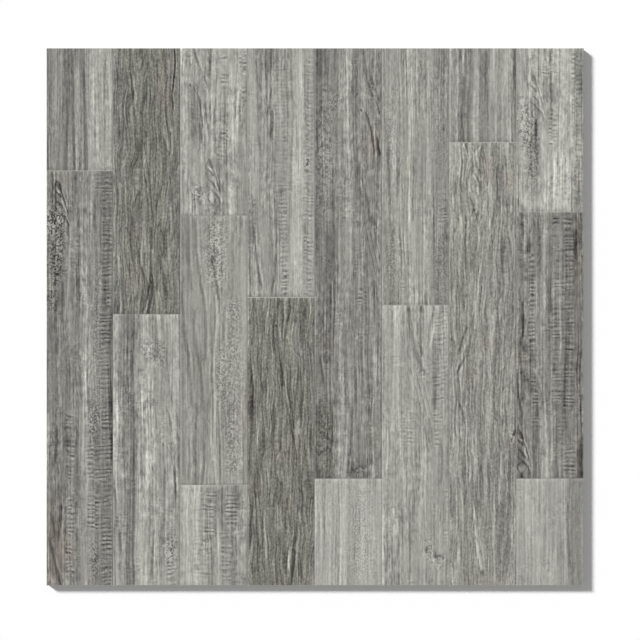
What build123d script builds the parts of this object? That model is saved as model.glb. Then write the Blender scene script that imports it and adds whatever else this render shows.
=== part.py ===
from build123d import *
import os

# Square porcelain floor tile, pressed and fired as one piece.
# The face carries eight columns of wood-look planks of random length, parted by shallow V-joints.
# The back carries the raised grid of ribs that keys the tile into its bed of adhesive.
# Origin: centre of the back, on the crowns of the ribs. +Z is the face, +Y runs along the planks.

# Driving dimensions, in millimetres
tile_side = 600.0
tile_thickness = 9.0
face_arris = 0.6
back_bevel = 1.5

# Plank layout: columns across the face, and how far each end joint lies from the +Y edge of the tile
plank_columns = 8
end_joints = (
    (137.0,),
    (297.5,),
    (187.5, 488.0),
    (278.5,),
    (481.0,),
    (287.0,),
    (105.5,),
    (183.0, 481.0),
)
joint_width = 1.6
joint_depth = 0.5

# Back relief: square pockets between ribs, with sloping walls so that the tile leaves its die
pocket_pitch = 36.0
rib_width = 7.0
pocket_depth = 0.8
pocket_wall_slope = 45.0
back_border = 10.0

# Sizes that follow from the driving dimensions
half_side = tile_side / 2
plank_width = tile_side / plank_columns
pocket_side = pocket_pitch - rib_width
pockets_per_side = int((tile_side - 2 * (back_border + back_bevel) + rib_width) // pocket_pitch)


def joint_profile():
    """V-joint section with its bottom at -joint_depth; its mouth at zero is joint_width across."""
    Polygon((0, -joint_depth), (joint_width, joint_depth), (-joint_width, joint_depth), align=None)


with BuildPart() as floor_tile:
    # Body: a flat square slab with a small arris round the face and a wider bevel round the back
    with BuildSketch():
        Rectangle(tile_side, tile_side)
    extrude(amount=tile_thickness)
    chamfer(floor_tile.faces().sort_by(Axis.Z)[-1].edges(), face_arris)
    chamfer(floor_tile.faces().sort_by(Axis.Z)[0].edges(), back_bevel)

    # Long joints: one V between neighbouring columns, from edge to edge of the tile
    with BuildSketch(Plane.XZ.offset(-half_side)):
        for column in range(1, plank_columns):
            with Locations((column * plank_width - half_side, tile_thickness)):
                joint_profile()
    extrude(amount=tile_side, mode=Mode.SUBTRACT)

    # End joints: one V across a column wherever a plank ends
    for column, joints in enumerate(end_joints):
        with BuildSketch(Plane.YZ.offset(column * plank_width - half_side)):
            for from_edge in joints:
                with Locations((half_side - from_edge, tile_thickness)):
                    joint_profile()
        extrude(amount=plank_width, mode=Mode.SUBTRACT)

    # Back relief: a grid of shallow pockets, which leaves the ribs and a flat border standing
    with BuildSketch():
        with GridLocations(pocket_pitch, pocket_pitch, pockets_per_side, pockets_per_side):
            Rectangle(pocket_side, pocket_side)
    extrude(amount=pocket_depth, taper=pocket_wall_slope, mode=Mode.SUBTRACT)

floor_tile.part.label = "floor_tile"

os.makedirs("parts", exist_ok=True)
export_step(floor_tile.part, "parts/floor_tile.step")
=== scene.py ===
import math
from functools import partial
from typing import NamedTuple

import bmesh
import bpy
import numpy as np
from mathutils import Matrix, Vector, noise


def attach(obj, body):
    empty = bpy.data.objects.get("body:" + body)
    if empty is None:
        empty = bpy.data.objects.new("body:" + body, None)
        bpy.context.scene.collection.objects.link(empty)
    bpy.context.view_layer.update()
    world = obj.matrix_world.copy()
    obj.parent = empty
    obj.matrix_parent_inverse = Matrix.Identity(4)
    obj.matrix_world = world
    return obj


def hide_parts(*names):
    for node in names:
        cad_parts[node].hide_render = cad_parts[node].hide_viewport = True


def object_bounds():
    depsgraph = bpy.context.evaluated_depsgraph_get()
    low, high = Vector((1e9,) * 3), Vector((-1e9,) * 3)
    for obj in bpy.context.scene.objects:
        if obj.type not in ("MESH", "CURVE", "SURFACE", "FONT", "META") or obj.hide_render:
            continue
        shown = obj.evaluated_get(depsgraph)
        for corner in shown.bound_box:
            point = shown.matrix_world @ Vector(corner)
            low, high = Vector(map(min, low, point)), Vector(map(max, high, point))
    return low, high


bl_info = {
    "name": "Wood-Look Floor Tile",
    "version": (1, 0, 0),
    "blender": (4, 5, 0),
    "location": "3D View > Sidebar > Floor Tile",
    "description": "Dresses a square porcelain floor tile with its printed planks and pressed grain",
    "category": "Object",
}

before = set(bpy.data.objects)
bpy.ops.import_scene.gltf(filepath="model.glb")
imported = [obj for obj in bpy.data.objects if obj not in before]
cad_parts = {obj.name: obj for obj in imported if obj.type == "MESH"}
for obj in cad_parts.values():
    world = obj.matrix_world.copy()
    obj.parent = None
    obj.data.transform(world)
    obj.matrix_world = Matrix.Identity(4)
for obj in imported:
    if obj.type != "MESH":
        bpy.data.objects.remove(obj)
CAD_LOW, CAD_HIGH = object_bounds()
NODE = "floor_tile"
BODY = "root"
MM = 0.001

# Places of the materials on the tile
GLAZE, CLAY, DRAWN, ARRIS_AND_HIGHLIGHT = range(4)

# Random numbers of the planks: where the first one starts, and how far each lies from the one before
FIRST_SEED = 1.7
SEED_STEP = 7.3
GRAIN_STEP = 9.1

# Flow of the grain, in millimetres: how far it drifts and wavers, and the width and length of the waves
DRIFT = 1.6
DRIFT_WIDTH = 45
DRIFT_LENGTH = 75
WAVER = 0.7
OAK_WAVER = 1.7
WAVER_WIDTH = 15
WAVER_LENGTH = 28
KNOT_BEND = 0.55

# How softly the features start and end along a plank, in millimetres
STREAK_FADE = 8.0
VEIN_FADE = 4.0
FAN_FADE = 6.0
SAW_FADE = 5.0
PEBBLE_FADE = 12.0

# Drawn figures lie on one sheet, one below the other. Their margins are across and down, in millimetres
SHEET_PITCH = 300.0
FIGURE_MARGIN = (5.0, 3.0)
SHEET_MARGIN = 12.0

# Print: pitch of a vein in widths of its line, paleness of the long joints, darkest shade, and gamma
VEIN_PITCH = 3.2
LONG_JOINT_PALENESS = 0.25
DARKEST_SHADE = 0.12
PRINT_GAMMA = 2.2

# Surfaces: shine, strength of the fine bump, and the angle past which an edge shades as sharp
SHINE = 0.3
BUMP_STRENGTH = 0.3
GRAIN_BUMP = 0.6 * MM
CLAY_BUMP = 0.3 * MM
SHARP_ANGLE = math.radians(25)

# Vertices of a rim that lie closer than this are one
MERGE_GAP = 0.01 * MM

# Floor under the tile: half its side, and a gap that keeps it clear of the back
FLOOR_REACH = 4.0
FLOOR_GAP = 0.05 * MM
WHITE = (1.0, 1.0, 1.0, 1.0)
FLOOR_GREY = (0.8, 0.8, 0.8, 1.0)


# Shapes that the features of the print are drawn with

def smooth_rise(value, low, high):
    """0 below low, 1 above high, with a smooth rise between them."""
    part = np.clip((value - low) / (high - low), 0.0, 1.0)
    return part * part * (3.0 - 2.0 * part)


def stripe(offset, width):
    """1 in the middle of a stripe of that width, soft at its two sides."""
    return np.exp(-np.power(2.0 * offset / width, 4))


def along(down, top, bottom, fade=STREAK_FADE):
    """1 between top and bottom, with a soft start and end. None runs on to the end of the plank."""
    level = np.ones_like(down)
    if top is not None:
        level = level * smooth_rise(down, top - fade, top + fade)
    if bottom is not None:
        level = level * (1.0 - smooth_rise(down, bottom - fade, bottom + fade))
    return level


def oval(plank, across, down, wide, tall):
    """1 in the middle of an oval spot, and 0 well outside it."""
    distance = np.hypot((plank.across - across) / (wide / 2), (plank.down - down) / (tall / 2))
    return np.exp(-np.power(distance, 3))


def curve_through(path, down):
    """How far across a smooth line through the points of a path lies at each height."""
    across, heights = np.array(path, float).T
    slopes = np.gradient(across, heights)
    first = np.clip(np.searchsorted(heights, down) - 1, 0, len(heights) - 2)
    span = heights[first + 1] - heights[first]
    part = np.clip((down - heights[first]) / span, 0.0, 1.0)
    rest = 1.0 - part
    level = across[first] * (1.0 + 2.0 * part) * rest**2 + across[first + 1] * (3.0 - 2.0 * part) * part**2
    return level + span * part * rest * (slopes[first] * rest - slopes[first + 1] * part)


def ripple(across, down, seed):
    """Smooth random numbers over a plank, from about -0.7 to 0.7."""
    spots = zip(across, down)
    return np.fromiter((noise.noise((a, d, seed)) for a, d in spots), float, len(across))


# Features of the print. Across is measured from the left side of a plank, and down from the top edge
# of the tile, in millimetres. A shade is a part of the way from black to white, added to the plank's own.

class Streak(NamedTuple):
    """A soft stripe along the grain, which may lean across by some way from its top to its bottom."""
    across: float
    width: float
    shade: float
    top: float = None
    bottom: float = None
    lean: float = 0.0

    def draw(self, plank):
        first = plank.top if self.top is None else self.top
        last = plank.bottom if self.bottom is None else self.bottom
        centre = self.across + self.lean * (plank.down - first) / (last - first)
        level = stripe(plank.flow - centre, self.width)
        plank.shade += self.shade * level * along(plank.down, self.top, self.bottom)


class Vein(NamedTuple):
    """A thin line through a path of points, each given as across and down, from the top one to the lowest."""
    path: tuple
    shade: float
    width: float = 2.8

    def draw(self, plank):
        offset = plank.across - curve_through(self.path, plank.down)
        pitch = VEIN_PITCH * self.width
        level = np.clip(1.0 - np.square(offset / (0.5 * pitch)), 0.0, 1.0)
        level = level * along(plank.down, self.path[0][1], self.path[-1][1], VEIN_FADE)
        # Light lines turn the painted edge round, so painted light stays right of a line and painted shade
        # left of it.
        side = 1.0 if self.shade < 0 else -1.0
        plank.rule_lines(side * offset / pitch, level, self.shade, np.abs(offset) < pitch)


class Fan(NamedTuple):
    """Several thin lines side by side along a path."""
    path: tuple
    width: float
    pitch: float
    shade: float

    def draw(self, plank):
        offset = plank.across - curve_through(self.path, plank.down)
        level = stripe(offset, self.width) * along(plank.down, self.path[0][1], self.path[-1][1], FAN_FADE)
        plank.rule_lines(offset / self.pitch, level, self.shade, np.abs(offset) < self.width)


class Stroke(NamedTuple):
    """A stroke of a drawn figure: its top, its bottom, its bow to the right, its width and its shade."""
    across: float
    down: float
    end_across: float
    end_down: float
    bow: float
    width: float
    shade: float


# Drawn figures. Each stroke is measured from the origin of its own figure, in millimetres
FIGURES = {
    "burl": (
        Stroke(1, 3, 3, 10, 0, 3.2, -0.12),
        Stroke(0, -1, 4.8, 11, 0.8, 2.2, -0.20),
        Stroke(0, 1, -3.2, 11, -0.9, 1.8, -0.15),
        Stroke(-0.5, 7, 3, 13.5, 0, 1.5, 0.20),
        Stroke(-2.5, 11, 4, 18.5, 1.8, 2.2, -0.20),
        Stroke(-2.5, 13, 0, 22, -0.5, 2.6, -0.08),
        Stroke(3.5, 8, 12.6, 37, 0.6, 1.4, -0.20),
        Stroke(4.5, 19, 10.2, 34, 0, 1.4, 0.17),
        Stroke(5.5, 8, 12.2, 29, 0, 1.3, 0.11),
        Stroke(8, 11, 14, 30, 0, 1.2, -0.08),
        Stroke(0, 22, 6.8, 32, 1.2, 2.3, -0.20),
        Stroke(-2.5, 25, -1, 36, 0, 2.4, -0.07),
        Stroke(-3, 29, 4, 36.5, 1.4, 1.9, -0.14),
        Stroke(3.5, 36, 4, 49.5, -4.8, 1.5, -0.15),
        Stroke(3.5, 36, 4, 49.5, 4.8, 1.5, -0.15),
        Stroke(3, 39, 4, 47, -2, 1.5, 0.05),
        Stroke(5, 35.5, 12.4, 51, 2.2, 1.8, -0.20),
        Stroke(8, 35, 14.2, 48, 1, 1.3, 0.10),
        Stroke(4, 48, 3.5, 68, 0.5, 2.3, -0.20),
    ),
    "pip": (
        Stroke(-0.3, -1.6, 0.3, 1.8, 0, 1.4, -0.30),
        Stroke(2, -3, 2.6, 2, 0, 1.2, 0.08),
        Stroke(0.6, 4, 1.6, 30, 0, 1.4, -0.05),
        Stroke(1.6, 28, 2.6, 33, 0, 2.0, -0.08),
        Stroke(3.2, 0, 8.8, 11, 0, 1.0, -0.12),
        Stroke(5, -3, 9.2, 10, 1.2, 1.0, -0.08),
        Stroke(6, 1, 8, 8, 0.5, 1.2, 0.06),
        Stroke(8.8, 10, 13.9, 52, 1.0, 1.5, -0.15),
        Stroke(14, 52, 12.5, 66, 0, 1.9, -0.10),
        Stroke(13.5, 12, 17.4, 55, -0.3, 1.5, 0.13),
        Stroke(16.4, 12, 18.3, 34, 0, 1.4, -0.07),
        Stroke(18.2, 30, 20, 50, 0.3, 1.6, -0.17),
        Stroke(16, -11, 20.5, 4, 0.3, 1.4, -0.13),
        Stroke(27.3, 26, 25.3, 54, 0.5, 1.6, -0.10),
        Stroke(31.2, -6, 30, 36, 0, 1.6, 0.07),
    ),
    "knot": (
        Stroke(-0.6, -1.5, 0.6, 2.5, 0, 2.2, -0.13),
        Stroke(7, -30, 9.5, -3.5, -0.6, 1.6, -0.12),
        Stroke(16, -23, 10.8, -3.5, 1.5, 1.6, -0.14),
        Stroke(18, -19, 18.5, 0, 0.3, 1.2, 0.08),
        Stroke(18.8, -2, 15.8, 10, 0.8, 1.3, 0.15),
        Stroke(24.8, -23, 26.3, 8, 1, 1.5, -0.09),
        Stroke(3.4, 3.5, 6.8, 31, 0.9, 1.5, 0.17),
        Stroke(6.8, 30, 8.8, 58, 0, 1.0, 0.07),
        Stroke(1, 2, 6.2, 53, -0.4, 1.8, -0.15),
        Stroke(6.2, 50, 7.5, 68, 0, 1.9, -0.11),
        Stroke(-5, 11, -3, 26, 0.3, 1.2, 0.11),
        Stroke(-3.2, 8, 0, 27, 0.3, 1.2, -0.09),
        Stroke(-2.5, 39, -2, 52, 0, 1.1, 0.10),
        Stroke(-10, 34, -13.8, 38.5, 0, 1.4, 0.12),
        Stroke(28.5, 28, 26, 38, 0, 1.2, 0.09),
        Stroke(20, 27, 18, 51, 0, 1.2, 0.07),
        Stroke(-3.7, -18, -4, -6, 0, 1.2, 0.10),
        Stroke(0, -12, -0.4, -4.5, 0, 1.3, -0.10),
        Stroke(-9.9, -18, -9.3, -6, 0, 1.2, 0.09),
        Stroke(-14.9, -30, -14.5, -16, 0, 1.2, 0.11),
    ),
    "fork": (
        Stroke(-1.5, -1, 2, 2, 0, 1.8, -0.16),
        Stroke(-3, 3, 0.2, 8, 0, 1.2, -0.10),
        Stroke(3.4, 3, 0.2, 8, 0, 1.2, -0.10),
        Stroke(-11.6, -2, -7.2, 11, 0, 1.3, 0.12),
        Stroke(-9.7, -2, -5.4, 12, 0, 1.4, -0.13),
        Stroke(8, 2, 1, 13, 0, 1.6, 0.16),
        Stroke(10.2, -2, 7.4, 16, 0, 1.5, -0.14),
        Stroke(-5.4, 11, -7.2, 34, -1.5, 1.5, -0.09),
        Stroke(-3.2, 20, -7.2, 34, 0, 1.4, 0.13),
        Stroke(7.4, 14, 7, 30, 0, 1.6, -0.13),
        Stroke(6.5, 27, 8.4, 37, 0, 2.0, -0.22),
        Stroke(-1.4, 32, 4.6, 44, 1.2, 1.4, 0.17),
        Stroke(0.4, 31, 6.3, 45, 1.4, 1.4, -0.15),
        Stroke(4, 43, 4.3, 58, 0, 1.3, 0.12),
        Stroke(6.2, 44, 6.8, 63, 0, 1.4, -0.10),
        Stroke(9, 32.5, 9.5, 40.5, 0, 2.0, 0.16),
        Stroke(-4.8, 42.5, -3.5, 52.5, 0, 1.5, 0.13),
        Stroke(-3.5, 44, 2, 60, 0, 1.2, -0.09),
        Stroke(0.6, 72, -3.6, 81, 0, 1.4, -0.16),
        Stroke(0.6, 72, 5.3, 88, 0, 1.3, -0.13),
        Stroke(0.8, 75, 1, 84, 0, 1.8, 0.13),
        Stroke(17.3, 43, 16, 60, 0, 1.3, 0.11),
        Stroke(12, 63, 11.4, 78, 0, 1.3, 0.14),
        Stroke(-9.5, 80.5, -8.5, 86.5, 0, 1.8, -0.14),
        Stroke(-9.5, 88.5, -8.5, 94.5, 0, 1.9, -0.17),
    ),
}


class Figure(NamedTuple):
    """A drawn figure whose own origin lies at a place on the plank."""
    name: str
    across: float
    down: float
    strength: float

    def draw(self, plank):
        strokes = np.array(FIGURES[self.name])
        low = strokes[:, :4].reshape(-1, 2).min(axis=0) - FIGURE_MARGIN
        high = strokes[:, :4].reshape(-1, 2).max(axis=0) + FIGURE_MARGIN
        place = np.column_stack((plank.across - self.across, plank.down - self.down))
        beyond = np.maximum(low - place, place - high).max(axis=1)
        place[:, 1] += SHEET_PITCH * list(FIGURES).index(self.name)
        strength = np.where(beyond < 0.0, self.strength, 0.0)
        figure = np.column_stack((place, strength))
        plank.sheet = np.where((beyond < SHEET_MARGIN)[:, None], figure, plank.sheet)


class Spot(NamedTuple):
    """A soft oval that is added to one field of the print."""
    field: str
    across: float
    down: float
    wide: float
    tall: float
    strength: float

    def draw(self, plank):
        level = getattr(plank, self.field)
        level += self.strength * oval(plank, self.across, self.down, self.wide, self.tall)


# A darker or lighter spot, a reddish one, and one with dark curly marks as on a burl
Patch = partial(Spot, "shade")
Blush = partial(Spot, "blush")
Speckle = partial(Spot, "burl")


class Tint(NamedTuple):
    """A stretch along the grain that is more olive than the plank, or less where the strength is negative."""
    across: float
    width: float
    strength: float
    top: float = None
    bottom: float = None

    def draw(self, plank):
        level = stripe(plank.flow - self.across, self.width)
        plank.olive += self.strength * level * along(plank.down, self.top, self.bottom)


class Saw(NamedTuple):
    """A row of short saw marks across the grain, stacked along the plank."""
    across: float
    width: float
    top: float
    bottom: float
    strength: float

    def draw(self, plank):
        level = stripe(plank.across - self.across, self.width)
        plank.sawn += self.strength * level * along(plank.down, self.top, self.bottom, SAW_FADE)


class Pebbles(NamedTuple):
    """A stretch of fine raised dots."""
    across: float
    width: float
    top: float
    bottom: float
    strength: float

    def draw(self, plank):
        level = np.exp(-np.square(2.0 * (plank.flow - self.across) / self.width))
        plank.pebble += self.strength * level * along(plank.down, self.top, self.bottom, PEBBLE_FADE)


class Knot(NamedTuple):
    """A spot that the grain flows round."""
    across: float
    down: float
    wide: float
    tall: float

    def bend(self, plank):
        side = (plank.across - self.across) / (self.wide / 2)
        length = (plank.down - self.down) / (self.tall / 2)
        plank.flow -= KNOT_BEND * (plank.across - self.across) / (1.0 + side * side + length * length)


class Kind(NamedTuple):
    """How strongly each sort of grain shows on a plank."""
    fibre: float
    oak: float
    weave: float
    olive: float


OAK = Kind(fibre=0.2, oak=1.0, weave=0.1, olive=0.95)
PALE_OAK = Kind(fibre=0.5, oak=0.88, weave=0.3, olive=0.25)
SAWN = Kind(fibre=1.05, oak=0.1, weave=0.95, olive=0.15)
SOFT = Kind(fibre=0.9, oak=0.0, weave=0.7, olive=0.15)
STRIPED = Kind(fibre=1.0, oak=0.0, weave=0.55, olive=0.15)
SMOOTH = Kind(fibre=0.8, oak=0.0, weave=0.4, olive=0.05)
SILKY = Kind(fibre=0.58, oak=0.0, weave=0.6, olive=0.05)


class Plank(NamedTuple):
    """One printed plank: column, ends, sort of grain, own shade, paleness of its top joint, and features."""
    column: int
    top: float
    bottom: float
    kind: Kind
    shade: float
    joint: float
    features: tuple


PLANKS = (
    Plank(0, 0, 137, STRIPED, 0.535, 0.0, (
        Streak(24, 9, -0.10, None, 20),
        Streak(24.5, 5, -0.15, 15, None, -2.5),
        Streak(19, 4, -0.05, 60),
        Streak(30.5, 4, -0.05, 40),
        Vein(((28, -4), (29.5, 25), (30, 50), (32, 140)), -0.08),
        Streak(36, 4, 0.05, 25),
        Streak(40.5, 2, 0.04, 25),
        Streak(43.5, 4, -0.13, 22, None, 1),
        Streak(38, 18, -0.05, None, 22),
        Streak(61, 30, 0.095),
        Streak(53, 3, -0.02),
        Streak(57.5, 3, 0.06, 45),
        Streak(66.5, 2.5, -0.09, 15, 62, -1),
        Streak(65.5, 1.8, -0.07, 80, 105),
        Streak(60, 2, -0.09, 85, 122),
        Streak(68, 2, 0.05, 60),
        Streak(3, 8, -0.03),
    )),
    Plank(0, 137, 600, SAWN, 0.495, 0.5, (
        Knot(12, 335, 8, 26),
        Tint(9, 22, 0.3, None, 300),
        Figure("burl", 12.1, 148.7, 1.15),
        Patch(13, 168, 11, 40, -0.07),
        Patch(17, 205, 6, 20, -0.07),
        Blush(25, 147, 14, 20, 0.9),
        Speckle(9, 190, 26, 34, 1.3),
        Speckle(12, 225, 22, 66, 1.1),
        Patch(14, 235, 8, 50, -0.06),
        Patch(13, 250, 12, 24, -0.10),
        Speckle(12, 250, 16, 30, 0.8),
        Patch(5, 278, 10, 18, -0.07),
        Speckle(6, 280, 18, 28, 1.0),
        Patch(13, 280, 5, 14, -0.08),
        Vein(((19, 262), (20, 275), (19.5, 292)), -0.10),
        Vein(((28, 200), (26, 250), (22, 290), (17, 320)), 0.08),
        Patch(6, 300, 12, 60, -0.04),
        Patch(12, 333, 5, 20, -0.16),
        Vein(((16, 300), (15, 330), (14, 360), (16, 400)), 0.08),
        Vein(((11, 345), (12, 370), (13, 400)), -0.09),
        Streak(47, 14, 0.06),
        Streak(45, 1.8, 0.04),
        Streak(50.5, 1.8, 0.04),
        Patch(47, 355, 16, 60, 0.05),
        Streak(68, 14, -0.06, None, 330),
        Saw(68, 14, 140, 335, 1.0),
        Streak(72, 5, -0.09, 290, 410),
        Pebbles(58, 12, 235, 420, 0.9),
        Saw(57, 10, 255, 330, 0.5),
        Saw(36, 10, 205, 225, 0.7),
        Saw(57, 6, 140, 160, 0.7),
        Vein(((54, 170), (55, 190), (55, 202)), -0.10),
        Saw(26, 12, 402, 430, 0.8),
        Patch(25, 440, 10, 12, -0.10),
        Saw(27, 12, 434, 470, 1.0),
        Saw(27, 9, 472, 483, 1.0),
        Saw(28, 9, 495, 545, 1.1),
        Saw(27, 12, 550, 592, 1.0),
        Streak(41, 9, 0.035, 400),
        Pebbles(54, 10, 400, 435, 0.8),
        Saw(53, 16, 440, 482, 1.3),
        Saw(53, 15, 490, 540, 1.35),
        Streak(53, 12, -0.03, 430),
        Speckle(53, 572, 11, 44, 0.9),
        Patch(54, 578, 8, 30, -0.06),
        Speckle(53, 420, 11, 44, 0.9),
        Patch(53, 412, 8, 24, -0.07),
        Patch(73, 410, 6, 90, -0.10),
        Saw(66, 14, 335, 405, 0.8),
        Saw(68, 14, 405, 600, 1.0),
        Streak(68, 14, -0.045, 400),
        Pebbles(58, 22, 545, 600, 0.5),
        Vein(((73, 430), (74, 445), (73, 460)), -0.20),
        Streak(4, 3, 0.03, 400),
        Streak(13, 8, -0.03, 420),
        Vein(((11, 445), (10, 458), (8, 470)), -0.10),
        Patch(14, 478, 10, 16, 0.03),
        Streak(9, 18, -0.05, 490),
        Blush(10, 560, 26, 110, 1.5),
        Blush(28, 562, 22, 30, 0.7),
        Vein(((17, 510), (16, 530), (14, 550)), -0.15, 3.6),
        Vein(((6, 518), (9, 535), (12, 548)), -0.10, 3.6),
        Vein(((4, 548), (9, 570), (14, 588)), -0.12, 3.6),
        Vein(((11, 500), (12, 520), (13.5, 540)), 0.06, 3.2),
        Vein(((3, 585), (5, 604)), -0.12),
        Vein(((14, 590), (18, 604)), -0.10),
        Streak(22, 3, 0.05, 570),
        Blush(55, 595, 40, 12, 0.4),
    )),
    Plank(1, 0, 297.5, OAK, 0.453, 0.0, (
        Figure("knot", 18.6, 29.1, 1.0),
        Knot(28, 12, 14, 50),
        Knot(10, 119, 16, 24),
        Knot(28, 175, 20, 110),
        Knot(58, 215, 18, 90),
        Patch(10, 120, 12, 9, -0.06),
        Vein(((68, -4), (69, 20), (67, 40), (66, 52), (67, 68)), -0.26, 2.0),
        Blush(59, 45, 20, 64, 1.1),
        Vein(((29, 105), (33, 128), (37, 158), (40, 195)), -0.09, 1.8),
        Vein(((34, 105), (38, 128), (41.5, 160), (44, 190)), -0.09, 1.8),
        Vein(((31.5, 112), (35.5, 132), (39, 162)), 0.09, 1.6),
        Vein(((19, 125), (23, 150), (25, 175)), -0.09, 2.0),
        Vein(((15, 165), (14, 185), (13, 195)), -0.10),
        Vein(((65, 88), (66, 105), (64, 125)), 0.12),
        Vein(((64, 175), (65, 200), (65, 245)), 0.10),
        Vein(((6, 230), (6, 260), (8, 300)), 0.10),
        Vein(((27, 222), (30, 240), (35, 256)), -0.12),
        Vein(((42, 200), (42, 235), (42, 255), (38, 275), (33, 296)), -0.15),
        Vein(((44, 250), (43, 275), (38, 300)), -0.14),
        Vein(((41, 262), (39, 278), (35, 300)), 0.13),
        Blush(24, 206, 20, 16, 0.8),
        Blush(24, 258, 22, 26, 1.0),
        Tint(4, 14, -0.6),
        Tint(70, 14, -0.5),
    )),
    Plank(1, 297.5, 600, SAWN, 0.588, 0.2, (
        Streak(4, 8, 0.06),
        Streak(16, 17, -0.125, None, 395),
        Streak(21.5, 5, -0.03, None, 395),
        Streak(18.5, 12, -0.09, 395),
        Streak(23, 3.5, -0.14, 390),
        Streak(2, 3.5, -0.10, 480),
        Vein(((1, 480), (4, 520), (10, 570)), -0.10, 3.4),
        Streak(37, 24, 0.035),
        Streak(42.5, 2, 0.06, 400, 460),
        Patch(41, 460, 10, 20, 0.06),
        Speckle(37, 335, 16, 22, 0.8),
        Speckle(45, 340, 16, 30, 0.5),
        Patch(46, 335, 10, 26, -0.05),
        Speckle(54, 350, 8, 16, 0.9),
        Saw(55, 9, 328, 346, 0.8),
        Speckle(34, 362, 12, 8, 0.5),
        Vein(((59, 340), (62, 370), (66, 400)), -0.07),
        Streak(69, 3, 0.04, 310, 420),
        Vein(((60, 402), (64, 418), (66, 430)), -0.12),
        Vein(((66, 440), (69, 480), (70, 510)), -0.09, 3.4),
        Vein(((68, 430), (72, 480)), 0.07),
        Figure("pip", 55.6, 442.8, 0.9),
        Patch(58, 480, 10, 40, -0.06),
        Vein(((58, 470), (57, 500), (56, 530)), -0.07),
        Speckle(64, 561, 16, 40, 1.1),
        Patch(65, 562, 10, 20, -0.06),
        Saw(65, 15, 574, 600, 1.0),
        Vein(((45, 535), (44, 560), (43, 590)), -0.10),
        Streak(36.5, 2.2, 0.06, 560),
        Streak(31, 2, 0.04, 560),
        Streak(13, 4, 0.05, 545),
        Streak(17.5, 3, -0.04, 545),
    )),
    Plank(2, 0, 187.5, SAWN, 0.592, 0.0, (
        Streak(6, 6, 0.03),
        Figure("pip", 10.4, 41.8, 1.1),
        Vein(((14, -4), (18, 12), (24, 28)), -0.13),
        Vein(((35, -4), (34, 15), (33, 30)), -0.15),
        Streak(15, 8, -0.06, 45, 105),
        Vein(((21, 85), (23, 100), (22, 110)), -0.12),
        Figure("burl", 31.6, 124.5, 0.85),
        Patch(33, 145, 9, 40, -0.03),
        Speckle(20, 163, 18, 26, 1.0),
        Speckle(30, 178, 12, 14, 0.4),
        Saw(47, 12, 4, 20, 0.8),
        Saw(48, 11, 28, 48, 0.9),
        Saw(47, 10, 58, 72, 0.5),
        Saw(49, 9, 80, 106, 1.0),
        Saw(46, 13, 112, 126, 1.0),
        Saw(70, 10, 4, 30, 1.0),
        Saw(70, 8, 42, 64, 0.9),
        Streak(59, 11, 0.04),
        Streak(41, 2, 0.04, 40, 110),
        Patch(48, 95, 10, 60, -0.03),
    )),
    Plank(2, 187.5, 488, SMOOTH, 0.58, 0.15, (
        Tint(37, 90, 0.2),
        Streak(6, 9, -0.05, None, 240),
        Vein(((8, 183), (9, 230), (12, 270)), -0.07, 4),
        Vein(((17, 190), (18.5, 235), (22, 262), (26.5, 285), (28, 310), (27.5, 350)), -0.11, 3.6),
        Vein(((1, 270), (5, 320), (10, 360), (12, 400)), -0.08, 4),
        Vein(((5, 285), (6, 330), (6.5, 400)), 0.06, 3),
        Vein(((15.5, 292), (17, 335), (22, 360), (24, 404)), -0.09, 4),
        Streak(17, 10, -0.045, 335, 400),
        Vein(((35.5, 232), (38, 252), (41.5, 272), (43.5, 300)), -0.12, 3.4),
        Patch(35, 238, 5, 12, -0.12),
        Streak(31, 4, -0.06, 195, 225),
        Pebbles(39, 26, 190, 264, 1.5),
        Pebbles(59, 18, 278, 312, 1.2),
        Pebbles(60, 18, 318, 345, 1.1),
        Pebbles(60, 26, 345, 405, 0.9),
        Vein(((52, 270), (50, 300), (47, 330)), -0.06, 3.6),
        Vein(((40, 275), (41, 295), (39, 330), (37.5, 380), (39, 415), (38, 445), (41, 490)), 0.13, 3),
        Vein(((44, 300), (43, 340), (41, 400), (44, 450), (43, 490)), -0.07, 3.2),
        Pebbles(45, 12, 335, 400, 1.0),
        Pebbles(58, 20, 410, 478, 1.2),
        Streak(18, 8, -0.05, 400),
        Vein(((20, 396), (16.5, 440), (17, 490)), -0.07, 4),
        Vein(((27, 440), (26, 462), (23.5, 490)), -0.10, 3.4),
        Vein(((7, 400), (5, 430), (3, 470)), -0.07, 3.4),
        Blush(71, 410, 10, 40, 0.7),
        Streak(68, 10, 0.02),
    )),
    Plank(2, 488, 600, SAWN, 0.585, 0.6, (
        Streak(11, 23, 0.075),
        Streak(8, 2, 0.05),
        Streak(18.5, 4, 0.05),
        Saw(18, 8, 510, 600, 0.6),
        Saw(31.5, 19, 490, 544, 1.0),
        Streak(32, 18, -0.04, None, 545),
        Patch(45, 505, 11, 50, -0.13),
        Patch(61, 498, 9, 36, -0.12),
        Patch(57, 525, 9, 20, -0.06),
        Saw(57, 16, 496, 536, 1.1),
        Speckle(29, 557, 16, 24, 0.7),
        Saw(28, 16, 570, 600, 0.9),
        Saw(51, 15, 540, 600, 0.9),
        Streak(60, 3, -0.08, 540, 565),
        Vein(((66, 490), (65, 520), (62, 540)), 0.06),
        Speckle(18, 580, 8, 14, 0.6),
        Streak(55, 34, -0.02),
        Streak(35, 3, -0.07, 545),
    )),
    Plank(3, 0, 278.5, SOFT, 0.59, 0.0, (
        Streak(22, 22, -0.07, None, 30),
        Patch(26, 10, 9, 30, -0.05),
        Streak(11, 3.5, -0.05, None, 110),
        Streak(6, 8, 0.02),
        Streak(8, 2, 0.05, 40, 100),
        Vein(((26, 45), (25, 58), (23, 75)), -0.12),
        Vein(((28, 70), (27, 85), (26.5, 100)), -0.12),
        Streak(17, 8, -0.03, 30, 200),
        Vein(((13, 98), (14, 112), (13, 120)), -0.12),
        Streak(57, 14, 0.06),
        Streak(47.5, 2, 0.06, 45, 110),
        Patch(47, 52, 6, 12, -0.06),
        Saw(40, 24, 20, 165, 0.6),
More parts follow.
